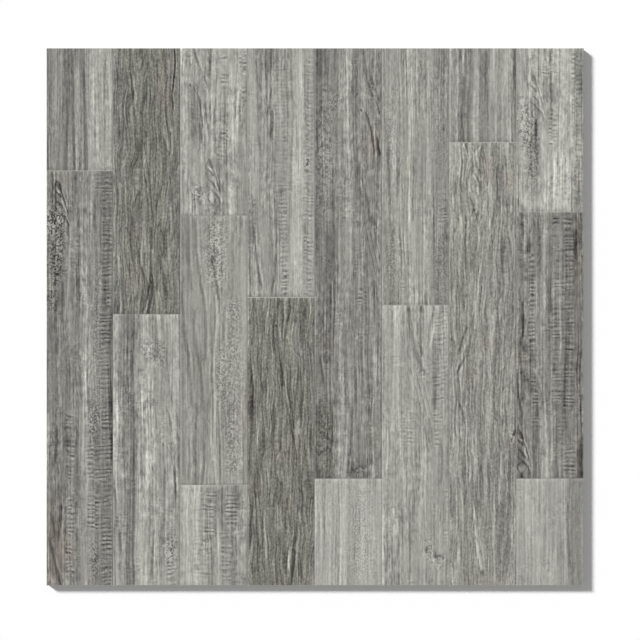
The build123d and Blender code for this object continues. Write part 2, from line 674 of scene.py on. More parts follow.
        Saw(69, 14, 8, 100, 0.6),
        Speckle(67, 80, 10, 60, 0.5),
        Speckle(66, 130, 7, 28, 1.2),
        Patch(67, 117, 4, 4, -0.20),
        Saw(68, 14, 100, 165, 0.7),
        Patch(5, 190, 12, 44, -0.10),
        Speckle(5, 180, 12, 40, 0.6),
        Patch(37, 161, 7, 8, -0.09),
        Saw(39, 11, 168, 204, 1.1),
        Saw(67, 14, 165, 200, 0.8),
        Vein(((33, 165), (34, 185), (34, 200)), -0.05),
        Vein(((7, 200), (9, 225), (12, 248), (16, 268)), -0.15),
        Streak(4, 8, -0.06, 200),
        Vein(((13, 205), (16, 235), (18, 262)), -0.06),
        Vein(((31, 235), (30, 252), (27, 272)), -0.14),
        Streak(24, 8, -0.03, 215, 270),
        Saw(41, 10, 205, 278, 1.2),
        Saw(67, 13, 208, 240, 1.0),
        Saw(67, 14, 240, 278, 0.9),
        Streak(51, 8, 0.05, 200),
    )),
    Plank(3, 278.5, 600, OAK, 0.455, 1.0, (
        Figure("knot", 32, 309.5, 1.0),
        Knot(41, 292, 14, 50),
        Knot(36, 450, 22, 100),
        Knot(66, 490, 16, 60),
        Vein(((44, 400), (49, 425), (53, 445)), -0.13, 2.0),
        Vein(((48, 395), (52, 425), (55, 470)), -0.10, 2.0),
        Vein(((30, 398), (25, 420), (21, 445)), -0.08, 2.0),
        Vein(((2, 350), (6, 380), (5, 400)), -0.14),
        Patch(5, 402, 9, 26, -0.16),
        Streak(4, 9, -0.08, 345, 480),
        Vein(((10, 415), (11, 442)), 0.12),
        Blush(5, 400, 12, 40, 1.0),
        Blush(36, 455, 20, 22, 1.0),
        Blush(52, 445, 18, 40, 0.8),
        Blush(52, 509, 20, 22, 1.0),
        Blush(5, 490, 12, 26, 0.7),
        Blush(33, 594, 22, 14, 0.8),
        Blush(66, 594, 14, 12, 0.6),
        Patch(10, 497, 5, 5, -0.18),
        Vein(((6, 505), (4, 530), (3, 560)), -0.13),
        Vein(((8, 508), (6, 532)), 0.10),
        Vein(((19, 516), (19, 540), (21, 570)), 0.12),
        Vein(((55, 520), (54, 545), (50, 560), (47, 576)), -0.10),
        Vein(((48, 556), (46, 570), (45, 582)), 0.18),
        Vein(((53, 560), (51, 580), (47, 604)), -0.15),
        Vein(((49, 572), (48, 590), (45, 604)), -0.12),
        Vein(((45, 500), (43, 520), (42, 540)), -0.07),
    )),
    Plank(4, 0, 481, SAWN, 0.508, 0.0, (
        Patch(7, 16, 12, 40, -0.10),
        Streak(4, 8, -0.05),
        Streak(16, 8, -0.03, None, 30),
        Streak(37, 7, 0.075, None, 285),
        Streak(38.5, 2, 0.07, None, 75),
        Streak(38, 3, 0.05, 100, 200),
        Patch(36, 86, 9, 12, 0.07),
        Figure("pip", 51.7, 70.1, 1.2),
        Vein(((54, 5), (58, 34), (65, 55)), -0.11, 3.6),
        Vein(((60, 20), (66, 44), (73, 60)), -0.08, 3.6),
        Vein(((57, 15), (62, 40), (69, 58)), 0.06, 3),
        Vein(((65, 10), (70, 40)), -0.05),
        Blush(66, 107, 17, 40, 1.3),
        Vein(((50, 128), (54, 150), (60, 180), (64, 202)), -0.09, 3.6),
        Vein(((54, 140), (60, 165), (68, 200)), 0.06, 3),
        Vein(((62, 185), (67, 195), (70, 205)), -0.10),
        Speckle(11, 120, 24, 170, 0.6),
        Speckle(24, 58, 16, 24, 0.5),
        Streak(22, 3, -0.08, None, 30),
        Streak(35.5, 1.8, 0.05, None, 200),
        Streak(40.5, 1.8, 0.05, None, 200),
        Streak(47, 2, -0.05, 60, 200),
        Streak(50.5, 1.8, -0.05, 80, 200),
        Vein(((57, 72), (63, 92), (68, 118)), -0.10, 3.4),
        Vein(((62, 80), (68, 100), (73, 122)), -0.08, 3.4),
        Vein(((21, 160), (21, 180), (21.5, 205)), -0.14),
        Streak(16.5, 11, -0.10, 205, 350),
        Streak(21.5, 2, -0.05, 205, 340),
        Saw(48, 18, 205, 250, 0.4),
        Saw(33, 14, 395, 440, 0.4),
        Streak(28, 2, 0.05, 205, 330),
        Streak(45, 2, -0.06, 300, 400),
        Streak(60, 2.4, -0.07, 300, 400),
        Streak(66, 2, 0.05, 290, 400),
        Fan(((60, 196), (66, 225), (73, 256)), 16, 4.5, -0.09),
        Streak(40, 2.4, 0.06, 200, 260),
        Streak(49.5, 2, 0.05, 210, 270),
        Saw(51, 16, 248, 258, 0.5),
        Saw(51, 15, 268, 288, 1.0),
        Saw(51, 18, 295, 315, 0.5),
        Blush(13, 328, 18, 22, 1.1),
        Vein(((6, 345), (8, 360), (9, 374)), -0.16),
        Streak(17, 12, -0.06, 345, 400),
        Streak(38, 2.5, 0.05, 320, 400),
        Streak(53, 3, -0.04, 330, 380),
        Streak(41.5, 2, -0.07, 365, 378),
        Streak(11, 20, -0.08, 396),
        Streak(19, 3, -0.12, 405),
        Streak(14, 2, -0.07, 410),
        Streak(3, 3, -0.06, 400),
        Tint(11, 20, 0.8, 396),
        Speckle(10, 435, 20, 80, 0.7),
        Streak(6, 2, 0.06, 420),
        Patch(5, 476, 6, 10, -0.12),
        Streak(30, 12, 0.035, 400),
        Vein(((37, 403), (36, 440), (33, 472)), 0.10),
        Vein(((42, 398), (40, 440), (37, 472)), -0.10),
        Streak(54.5, 2, 0.06, 400, 450),
        Saw(63, 10, 410, 445, 0.5),
        Tint(68, 14, 0.7, 425, 446),
        Speckle(50, 471, 16, 13, 1.0),
        Patch(48, 471, 22, 14, -0.10),
        Speckle(34, 476, 12, 8, 0.6),
        Patch(63, 478, 10, 30, 0.06),
    )),
    Plank(4, 481, 600, SMOOTH, 0.643, 0.1, (
        Streak(28.3, 2.4, 0.10),
        Streak(26.3, 1.6, -0.10),
        Streak(37.5, 3, -0.07),
        Streak(46, 4, -0.035),
        Streak(12, 5, -0.03),
        Streak(33, 5, 0.02),
        Streak(20, 3, -0.03),
        Streak(22, 2, 0.04),
        Pebbles(52, 34, 490, 590, 0.7),
        Pebbles(18, 14, 496, 520, 0.5),
        Saw(66, 16, 490, 600, 0.35),
        Streak(66, 10, -0.02),
        Streak(43, 5, -0.02, 540),
    )),
    Plank(5, 0, 287, STRIPED, 0.58, 0.0, (
        Tint(28, 20, 0.4),
        Streak(28.8, 3.2, 0.15, None, 200, 2),
        Streak(26.5, 1.8, -0.06, None, 170, 2),
        Streak(33, 8, 0.03),
        Streak(20.5, 2, 0.05, None, 60),
        Streak(66, 18, -0.055),
        Pebbles(66, 16, 30, 150, 0.5),
        Saw(67, 14, 158, 200, 0.8),
        Streak(52, 5, 0.04),
        Patch(46.5, 33, 2.5, 4, -0.15),
        Pebbles(9, 12, 56, 125, 0.8),
        Patch(68, 90, 4, 4, -0.12),
        Vein(((7, 110), (8, 150), (9, 204)), -0.11),
        Streak(8, 16, -0.05, 195),
        Tint(10, 20, 0.5, 195),
        Pebbles(10, 18, 215, 285, 0.7),
        Streak(66, 18, -0.04, 205),
        Pebbles(66, 17, 205, 285, 0.8),
        Saw(23, 7, 256, 280, 0.9),
        Streak(37, 30, 0.03, 200),
        Streak(11, 2, -0.06, 200, 225),
    )),
    Plank(5, 287, 600, SOFT, 0.605, 0.2, (
        Streak(16.5, 7, 0.055, None, 400),
        Streak(13.5, 2, 0.04, None, 350),
        Patch(43, 291, 8, 8, -0.14),
        Patch(32, 291, 8, 8, -0.10),
        Vein(((29.5, 286), (32, 312), (36, 335), (42, 352), (49, 366)), -0.11, 5.5),
        Vein(((34, 300), (38, 328), (44, 346)), 0.05, 3.6),
        Vein(((42, 298), (42, 320), (45, 345)), -0.07),
        Vein(((57, 293), (54, 310), (52, 326)), -0.10),
        Vein(((58, 300), (57, 318), (54, 332)), 0.13),
        Fan(((36, 356), (44, 385), (50, 412)), 18, 5.0, -0.08),
        Saw(65, 19, 293, 338, 0.7),
        Patch(58.5, 370, 6, 70, -0.12),
        Patch(58, 335, 5, 30, -0.07),
        Saw(64, 19, 345, 398, 0.7),
        Patch(59, 392, 6, 12, -0.10),
        Saw(61, 11, 403, 420, 1.2),
        Saw(61, 9, 424, 446, 0.9),
        Saw(28, 20, 400, 446, 0.8),
        Streak(20, 1.8, 0.06, 405, 445),
        Streak(30.5, 2, 0.06, 400, 470),
        Vein(((43, 400), (48, 430), (52, 452)), -0.06),
        Vein(((50, 405), (55, 430), (57, 446)), -0.06),
        Vein(((66, 438), (67, 460), (66, 486)), -0.10),
        Streak(65, 5, -0.04, 440, 530),
        Saw(72, 6, 485, 540, 0.7),
        Streak(18, 2.4, -0.05, 500),
        Vein(((17, 543), (18, 555), (17, 572)), -0.10),
        Streak(31, 3, -0.04, 500),
        Speckle(52, 560, 14, 36, 0.6),
        Patch(50, 590, 8, 20, -0.08),
        Patch(50, 559, 5, 6, -0.16),
        Vein(((55, 561), (58, 574), (64, 584)), 0.10),
        Patch(62, 567, 12, 4, -0.18),
        Speckle(64, 572, 16, 18, 0.8),
        Saw(71, 8, 535, 560, 0.6),
    )),
    Plank(6, 0, 105.5, STRIPED, 0.57, 0.0, (
        Streak(18, 12, -0.05),
        Streak(21.5, 4, -0.085, 40, None, 1),
        Streak(16, 2.4, -0.09, 25),
        Streak(13, 3, -0.07, 70),
        Streak(15.5, 1.8, 0.06, None, 30),
        Streak(39, 10, -0.055),
        Streak(43.3, 2.6, -0.08, None, 85),
        Streak(29, 9, 0.03),
        Streak(9.5, 2, 0.04, 30),
        Streak(51.8, 1.8, 0.07, 75),
        Streak(57, 20, 0.03),
        Streak(72, 5, -0.02),
    )),
    Plank(6, 105.5, 600, PALE_OAK, 0.546, 0.7, (
        Figure("fork", 27, 108, 1.0),
        Tint(16, 44, 0.4, None, 350),
        Tint(24, 34, 0.3, 500),
        Knot(28, 150, 16, 60),
        Knot(26, 215, 12, 60),
        Knot(60, 260, 18, 90),
        Blush(42, 133, 18, 24, 1.2),
        Blush(62, 149, 20, 22, 1.0),
        Vein(((19, 203), (18, 222), (19, 247)), -0.12),
        Vein(((22, 205), (24, 227)), -0.08),
        Patch(24, 241, 5, 6, -0.14),
        Vein(((35, 243), (32, 270), (30, 290), (29, 314)), 0.16),
        Vein(((37, 243), (35, 270), (32, 302)), -0.10),
        Vein(((20, 310), (15, 325), (10, 342)), -0.15),
        Vein(((22, 318), (16, 338), (8, 360)), 0.10),
        Vein(((17, 346), (12, 356), (8, 363)), -0.18),
        Vein(((25, 318), (22, 335), (20, 347)), -0.10),
        Blush(42, 331, 20, 18, 1.1),
        Blush(25, 366, 18, 18, 0.9),
        Vein(((54, 343), (52, 367)), 0.10),
        Vein(((9, 388), (11, 397), (14, 404)), -0.15),
        Patch(12, 440, 4, 6, -0.16),
        Vein(((75, 424), (72, 432), (68, 440)), -0.16),
        Speckle(72, 435, 10, 22, 0.9),
        Blush(73, 440, 8, 24, 0.8),
        Vein(((28, 514), (29, 540), (32, 565), (36, 584)), 0.16),
        Vein(((30, 518), (33, 550), (38, 586)), -0.10),
        Patch(37, 586, 4, 5, -0.18),
        Vein(((73, 518), (71, 540), (70, 562)), 0.13),
        Vein(((50, 498), (49, 530), (48, 562)), 0.07),
        Blush(22, 594, 16, 12, 0.6),
        Blush(45, 594, 30, 12, 0.9),
        Vein(((35, 468), (38, 487)), -0.10),
    )),
    Plank(7, 0, 183, SAWN, 0.61, 0.0, (
        Figure("burl", 17.8, 31, 0.8),
        Patch(19, 55, 10, 44, -0.04),
        Vein(((21, 80), (21, 100), (19, 116)), -0.05, 4),
        Patch(17, 125, 19, 84, -0.06),
        Streak(17, 10, -0.025, 80, 160),
        Streak(37.2, 2.2, 0.07, 22, 78),
        Speckle(7, 75, 15, 38, 0.8),
        Speckle(9, 98, 14, 34, 0.6),
        Speckle(17, 118, 22, 92, 0.65),
        Patch(10, 157, 8, 8, -0.12),
        Streak(12, 4, -0.05, None, 25),
        Saw(33, 12, 20, 32, 1.0),
        Saw(41, 14, 70, 110, 0.9),
        Streak(69.5, 12, -0.09),
        Saw(69, 15, 0, 183, 0.6),
        Streak(45, 44, 0.055, 95),
        Streak(55, 24, 0.04, None, 95),
        Vein(((57, 58), (56, 75), (57, 102)), -0.08),
        Saw(62, 6, 2, 40, 0.4),
    )),
    Plank(7, 183, 481, SAWN, 0.49, 0.1, (
        Streak(5, 9, -0.03),
        Streak(9, 2, 0.05, 190, 300),
        Patch(14, 222, 8, 10, -0.12),
        Saw(17, 9, 228, 345, 1.0),
        Saw(18, 8, 365, 380, 0.7),
        Saw(21, 8, 382, 400, 1.0),
        Streak(17, 8, -0.03, 225, 400),
        Streak(31, 8, 0.06),
        Streak(38.5, 2.2, 0.05, 330),
        Saw(44, 12, 200, 250, 0.7),
        Saw(44, 13, 252, 275, 0.9),
        Saw(44, 12, 280, 325, 0.9),
        Saw(44, 12, 333, 400, 0.9),
        Patch(42, 358, 4, 8, -0.18),
        Saw(44, 10, 185, 200, 1.0),
        Patch(44, 192, 8, 12, -0.10),
        Saw(58, 14, 185, 275, 0.8),
        Saw(58, 14, 275, 400, 1.0),
        Streak(58, 14, -0.04, None, 400),
        Streak(54, 3, -0.10, 320, 405),
        Vein(((65.5, 205), (66, 224), (66, 240)), -0.13, 3.4),
        Streak(70, 9, -0.04),
        Blush(70, 230, 12, 90, 1.0),
        Blush(70, 350, 12, 100, 0.7),
        Vein(((6, 283), (7, 310), (5, 334)), -0.14, 3.6),
        Vein(((3, 268), (6, 302)), -0.08),
        Blush(4, 348, 10, 22, 0.9),
        Vein(((1, 358), (2, 385), (4, 404)), -0.22),
        Vein(((8, 358), (9, 387)), -0.10),
        Figure("burl", 2.3, 425.7, 0.9),
        Patch(4, 450, 12, 50, -0.05),
        Blush(4, 436, 9, 24, 1.2),
        Saw(20, 16, 405, 428, 0.9),
        Streak(33, 10, 0.05, 400),
        Saw(50, 14, 400, 440, 0.6),
        Streak(54, 8, -0.06, 400, 430),
        Saw(59, 16, 442, 480, 0.9),
        Blush(70, 455, 10, 50, 1.3),
        Patch(71, 452, 7, 44, -0.12),
        Patch(73, 476, 5, 8, -0.20),
        Streak(47, 3, 0.05, 445),
    )),
    Plank(7, 481, 600, SILKY, 0.622, 0.3, (
        Streak(10, 2.4, 0.06),
        Streak(5.5, 2, 0.05, None, 560, 2),
        Streak(7.5, 1.6, -0.05),
        Streak(30, 34, 0.015),
        Streak(42.5, 3, -0.06, None, 560, -1),
        Streak(54, 2.4, 0.05, None, 560),
        Streak(66, 19, -0.115),
        Streak(16, 3, -0.03),
        Streak(36, 4, -0.03),
        Vein(((57, 508), (58, 550), (59, 577)), -0.07),
    )),
)


class PlankPrint:
    """The print of one plank, as numbers for each vertex that lies on it."""

    FIELDS = ("shade", "fibre", "oak", "weave", "olive", "sawn", "pebble", "burl", "vein", "ring", "blush")

    def __init__(self, plank, across, down, seed):
        self.top = plank.top
        self.bottom = plank.bottom
        self.across = across
        self.down = down
        self.sheet = np.zeros((len(across), 3))
        drift = DRIFT * ripple(across / DRIFT_WIDTH, down / DRIFT_LENGTH, seed)
        reach = WAVER + OAK_WAVER * plank.kind.oak
        waver = reach * ripple(across / WAVER_WIDTH, down / WAVER_LENGTH, seed)
        self.flow = across + drift + waver
        for field in self.FIELDS:
            setattr(self, field, np.zeros_like(across))
        self.shade += plank.shade
        for field in Kind._fields:
            getattr(self, field)[:] = getattr(plank.kind, field)
        for feature in plank.features:
            if hasattr(feature, "bend"):
                feature.bend(self)
        for feature in plank.features:
            if hasattr(feature, "draw"):
                feature.draw(self)
        self.fibre *= 1.0 - 0.5 * np.clip(self.sawn + 0.6 * self.pebble + 0.6 * self.burl, 0.0, 1.0)
        self.relief = self.pressed_grain(plank.shade, seed)

    def rule_lines(self, phase, level, shade, near):
        """Draws lines where the phase is a whole number. The strongest feature at a spot keeps the spot."""
        wins = near & (abs(shade) * level >= np.abs(self.vein))
        self.vein = np.where(wins, shade * level, self.vein)
        self.ring = np.where(wins, phase, self.ring)

    def pressed_grain(self, own_shade, seed):
        """How deep the grain is pressed in, from 0 to 1: dark streaks and burls lie deeper than fibres."""
        fibre = ripple(self.flow / 3.0, self.down / 60, seed + 0.5)
        streaks = np.clip((own_shade - self.shade) * 3.0, -0.3, 0.5)
        burls = 0.3 * np.clip(self.burl - 3.0 * self.vein, 0.0, 1.0)
        return np.clip(0.4 + 0.45 * fibre + streaks + burls, 0.0, 1.0)


# Settings that a user would change

def length_setting(name, description, default):
    return bpy.props.FloatProperty(name=name, description=description, default=default, unit="LENGTH")


def count_setting(name, description, default):
    return bpy.props.IntProperty(name=name, description=description, default=default)


def share_setting(name, description, default):
    return bpy.props.FloatProperty(name=name, description=description, default=default, subtype="FACTOR")


def angle_setting(name, description, degrees):
    angle = math.radians(degrees)
    return bpy.props.FloatProperty(name=name, description=description, default=angle, subtype="ANGLE")


def colour_setting(name, description, red, green, blue):
    colour = (red, green, blue, 1.0)
    return bpy.props.FloatVectorProperty(
        name=name, description=description, default=colour, subtype="COLOR", size=4)


class TileSizes(bpy.types.PropertyGroup):
    """Sizes of the tile and of the relief on its two faces."""
    side: length_setting("Side", "Length of each edge", CAD_HIGH.x - CAD_LOW.x)
    thickness: length_setting("Thickness", "From the back to the face", CAD_HIGH.z - CAD_LOW.z)
    arris: length_setting("Arris", "Bevel round the face", 0.6 * MM)
    back_bevel: length_setting("Back Bevel", "Bevel round the back", 1.5 * MM)
    columns: count_setting("Columns", "Columns of planks across the face", 8)
    joint_width: length_setting("Joint Width", "Mouth of the V between planks", 1.6 * MM)
    joint_depth: length_setting("Joint Depth", "Depth of the V between planks", 0.5 * MM)
    grain_depth: length_setting("Grain Depth", "Deepest pressed grain", 0.16 * MM)
    cells_across: count_setting("Cells Across", "Mesh cells across one plank", 70)
    row_pitch: length_setting("Row Pitch", "Longest mesh cell along the planks", 4.8 * MM)
    pocket_pitch: length_setting("Pocket Pitch", "Distance between pockets of the back", 36.0 * MM)
    rib_width: length_setting("Rib Width", "Crown of a rib between two pockets", 7.0 * MM)
    pocket_depth: length_setting("Pocket Depth", "Depth of the pockets of the back", 0.8 * MM)
    pockets: count_setting("Pockets", "Pockets along each side of the back", 16)


class TileColours(bpy.types.PropertyGroup):
    """Inks of the print, and the clay under it."""
    ink: colour_setting("Ink", "Tint of the grey planks", 1.0, 0.985, 0.905)
    olive_ink: colour_setting("Olive Ink", "Tint of the oak planks", 1.0, 1.0, 0.858)
    blush_ink: colour_setting("Blush Ink", "Tint of the reddish spots", 1.04, 0.945, 0.84)
    joint: colour_setting("Joint", "Pale line in the joints", 0.46, 0.45, 0.42)
    clay: colour_setting("Clay", "Fired body at the sides and back", 0.60, 0.585, 0.55)
    # Paler than the clay: ground body, and partly a painted highlight that keeps the arris light at the
    # shaded right and lower edges.
    edge: colour_setting("Edge", "Ground body at the arris round the face", 0.82, 0.80, 0.76)
    gloss: share_setting("Glaze Roughness", "How matt the glaze is", 0.62)


class StageSettings(bpy.types.PropertyGroup):
    """Camera and light."""
    view_width: length_setting("View Width", "Width that the camera takes in at the face", 0.714)
    lens: bpy.props.FloatProperty(name="Lens", description="Focal length", default=100.0, unit="CAMERA")
    shift_x: length_setting("Camera X", "Camera's place right of the tile's middle", 0.0057)
    shift_y: length_setting("Camera Y", "Camera's place above the tile's middle", -0.0037)
    sun_height: angle_setting("Sun Height", "Angle of the key light over the floor", 30)
    sun_side: angle_setting("Sun Side", "Angle from the left edge towards the top edge", 36.6)
    sun_softness: angle_setting("Sun Softness", "Angular size of the key light", 11)
    fill: share_setting("Fill", "Share of the light that comes from all round", 0.30)


# Mesh of the tile

def lines_across(sizes):
    """Places of the vertex lines along the planks: edges, arris, three at each long joint, and even fill."""
    half = sizes.side / 2
    pitch = sizes.side / sizes.columns
    lines = {-half, half}
    for column in range(sizes.columns):
        left = column * pitch - half
        right = left + pitch
        first = left + (sizes.arris if column == 0 else sizes.joint_width / 2)
        last = right - (sizes.arris if column == sizes.columns - 1 else sizes.joint_width / 2)
        lines.update(np.linspace(first, last, sizes.cells_across + 1))
        if column > 0:
            lines.add(left)
    return sorted(lines)


def lines_along(sizes):
    """Places of the vertex lines across the planks: edges, arris, three at each end joint, and even fill."""
    half = sizes.side / 2
    lip = sizes.joint_width / 2
    fixed = {-half, half, sizes.arris - half, half - sizes.arris}
    for plank in PLANKS:
        if plank.top > 0:
            joint = half - plank.top * MM
            fixed.update((joint - lip, joint, joint + lip))
    fixed = sorted(fixed)
    lines = [fixed[0]]
    for low, high in zip(fixed, fixed[1:]):
        steps = math.ceil((high - low) / sizes.row_pitch)
        lines.extend(np.linspace(low, high, steps + 1)[1:])
    return lines


def grid_on_lines(bm, across, along_lines, height):
    """A flat grid whose vertex lines lie where the two lists say."""
    made = bmesh.ops.create_grid(bm, x_segments=len(across) - 1, y_segments=len(along_lines) - 1, size=1.0)
    for vert in made["verts"]:
        column = round((vert.co.x + 1.0) / 2.0 * (len(across) - 1))
        row = round((vert.co.y + 1.0) / 2.0 * (len(along_lines) - 1))
        vert.co = (across[column], along_lines[row], height)
    return made["verts"]


def open_edges(bm):
    """Edges that have a face on one side only."""
    return [edge for edge in bm.edges if edge.is_boundary]


def drop_rim(bm, inset, height, sizes):
    """Carries an open square rim on to a new height, inset from the sides of the tile."""
    made = bmesh.ops.extrude_edge_only(bm, edges=open_edges(bm))["geom"]
    verts = [item for item in made if isinstance(item, bmesh.types.BMVert)]
    limit = sizes.side / 2 - inset
    for vert in verts:
        vert.co.x = max(-limit, min(limit, vert.co.x))
        vert.co.y = max(-limit, min(limit, vert.co.y))
        vert.co.z = height
    bmesh.ops.remove_doubles(bm, verts=verts, dist=MERGE_GAP)


def pocket_lines(sizes):
    """Places of the lines of the back's pockets, each with True where a pocket's floor begins or ends."""
    mouth = sizes.pocket_pitch - sizes.rib_width
    start = -(sizes.pockets - 1) / 2 * sizes.pocket_pitch - mouth / 2
    lines = []
    for pocket in range(sizes.pockets):
        left = start + pocket * sizes.pocket_pitch
        right = left + mouth
        lines.append((left, False))
        lines.append((left + sizes.pocket_depth, True))
        lines.append((right - sizes.pocket_depth, True))
        lines.append((right, False))
    return lines


def ribbed_back(bm, sizes):
    """The grid of the back, with its pockets pushed in."""
    lines = pocket_lines(sizes)
    places = [line for line, is_floor in lines]
    floors = {round(line / MM, 3) for line, is_floor in lines if is_floor}
    verts = grid_on_lines(bm, places, places, 0.0)
    for vert in verts:
        if round(vert.co.x / MM, 3) in floors and round(vert.co.y / MM, 3) in floors:
            vert.co.z = sizes.pocket_depth


def tile_mesh(sizes):
    """The closed tile: a fine grid for the face, the sides, the bevel of the back, and the ribbed back."""
    bm = bmesh.new()
    face = grid_on_lines(bm, lines_across(sizes), lines_along(sizes), sizes.thickness)
    limit = sizes.side / 2 - sizes.arris / 2
    rim_verts = {vert for vert in face if max(abs(vert.co.x), abs(vert.co.y)) > limit}
    for vert in rim_verts:
        vert.co.z = sizes.thickness - sizes.arris
    glazed = {cell for cell in bm.faces if rim_verts.isdisjoint(cell.verts)}
    # The arris cells take the paler edge colour, partly ground body and partly a painted highlight.
    ground = set(bm.faces) - glazed
    drop_rim(bm, 0.0, sizes.back_bevel, sizes)
    drop_rim(bm, sizes.back_bevel, 0.0, sizes)
    ribbed_back(bm, sizes)
    bmesh.ops.triangle_fill(bm, edges=open_edges(bm), use_beauty=True, normal=(0.0, 0.0, -1.0))
    for cell in bm.faces:
        cell.material_index = GLAZE if cell in glazed else ARRIS_AND_HIGHLIGHT if cell in ground else CLAY
    bmesh.ops.recalc_face_normals(bm, faces=bm.faces[:])
    mesh = bpy.data.meshes.new("floor_tile_dressed")
    bm.to_mesh(mesh)
    bm.free()
    return mesh


def joint_depths(sizes, x, down):
    """Depth of the long joints and of the end joints, from 0 to 1, and how pale the end joints are."""
    lip = sizes.joint_width / 2 / MM
    pitch = sizes.side / sizes.columns / MM
    left = x + sizes.side / 2 / MM
    nearest = np.clip(np.round(left / pitch), 1, sizes.columns - 1) * pitch
    long_joint = np.clip(1.0 - np.abs(left - nearest) / lip, 0.0, 1.0)
    end_joint = np.zeros_like(x)
    pale = np.zeros_like(x)
    for plank in PLANKS:
        if plank.top > 0:
            inside = (left >= plank.column * pitch) & (left <= (plank.column + 1) * pitch)
            depth = np.clip(1.0 - np.abs(down - plank.top) / lip, 0.0, 1.0)
            end_joint = np.where(inside, np.maximum(end_joint, depth), end_joint)
            pale = np.where(inside, np.maximum(pale, plank.joint * depth), pale)
    return long_joint, end_joint, pale


def vertex_places(mesh):
    """Places of all vertices, one row for each."""
    places = np.empty(len(mesh.vertices) * 3)
    mesh.vertices.foreach_get("co", places)
    return places.reshape(-1, 3)


def plank_prints(sizes, x, down, on_face):
    """Fields and vectors of the print at each vertex, filled plank by plank."""
    left = x + sizes.side / 2 / MM
    pitch = sizes.side / sizes.columns / MM
    column = np.clip(np.floor(left / pitch), 0, sizes.columns - 1)
    fields = {name: np.zeros(len(x)) for name in PlankPrint.FIELDS + ("relief",)}
    vectors = {name: np.zeros((len(x), 3)) for name in ("grain", "sheet")}
    for number, plank in enumerate(PLANKS):
        chosen = on_face & (column == plank.column) & (down >= plank.top) & (down <= plank.bottom)
        across = left[chosen] - plank.column * pitch
        plank_print = PlankPrint(plank, across, down[chosen], SEED_STEP * number + FIRST_SEED)
        for name in fields:
            fields[name][chosen] = getattr(plank_print, name)
        own = np.full(len(across), GRAIN_STEP * number)
        vectors["grain"][chosen] = np.column_stack((plank_print.flow, down[chosen], own))
        vectors["sheet"][chosen] = plank_print.sheet
    return fields, vectors


def store_print(mesh, fields, vectors):
    """Keeps the print as attributes of the mesh, and marks the cells that a drawn figure lies on."""
    for name, values in fields.items():
        mesh.attributes.new(name, "FLOAT", "POINT").data.foreach_set("value", values)
    for name, values in vectors.items():
        mesh.attributes.new(name, "FLOAT_VECTOR", "POINT").data.foreach_set("vector", values.ravel())
    drawn = vectors["sheet"][:, 2] > 0.0
    for cell in mesh.polygons:
        if cell.material_index == GLAZE and drawn[list(cell.vertices)].any():
            cell.material_index = DRAWN


def print_face(mesh, sizes):
    """Presses the grain and the joints into the face, and stores the print of each plank on its vertices."""
    places = vertex_places(mesh)
    x = places[:, 0] / MM
    down = sizes.side / 2 / MM - places[:, 1] / MM
    on_face = places[:, 2] > sizes.thickness - 1.1 * sizes.arris
    inside = places[:, 2] > sizes.thickness - 0.5 * sizes.arris
    fields, vectors = plank_prints(sizes, x, down, on_face)
    long_joint, end_joint, pale = joint_depths(sizes, x, down)
    joint = np.maximum(long_joint, end_joint)
    flat = np.clip(1.0 - 2.0 * joint, 0.0, 1.0)
    sunk = sizes.joint_depth * joint + sizes.grain_depth * fields.pop("relief") * flat
    places[:, 2] -= np.where(inside, sunk, 0.0)
    mesh.vertices.foreach_set("co", places.ravel())
    fields["joint"] = np.where(on_face, np.maximum(LONG_JOINT_PALENESS * long_joint, pale), 0.0)
    store_print(mesh, fields, vectors)
    mesh.update()


def set_sharp_edges(mesh, sizes):
    """Sharp edges round the tile and on its back. The joints of the face shade smoothly, as if rounded."""
    mesh.polygons.foreach_set("use_smooth", [True] * len(mesh.polygons))
    mesh.set_sharp_from_angle(angle=SHARP_ANGLE)
    limit = sizes.side / 2 - 1.5 * sizes.arris
    for edge in mesh.edges:
        ends = [mesh.vertices[number].co for number in edge.vertices]
        inside = all(max(abs(end.x), abs(end.y)) < limit for end in ends)
        if inside and ends[0].z > sizes.thickness / 2:
            edge.use_edge_sharp = False


# Materials

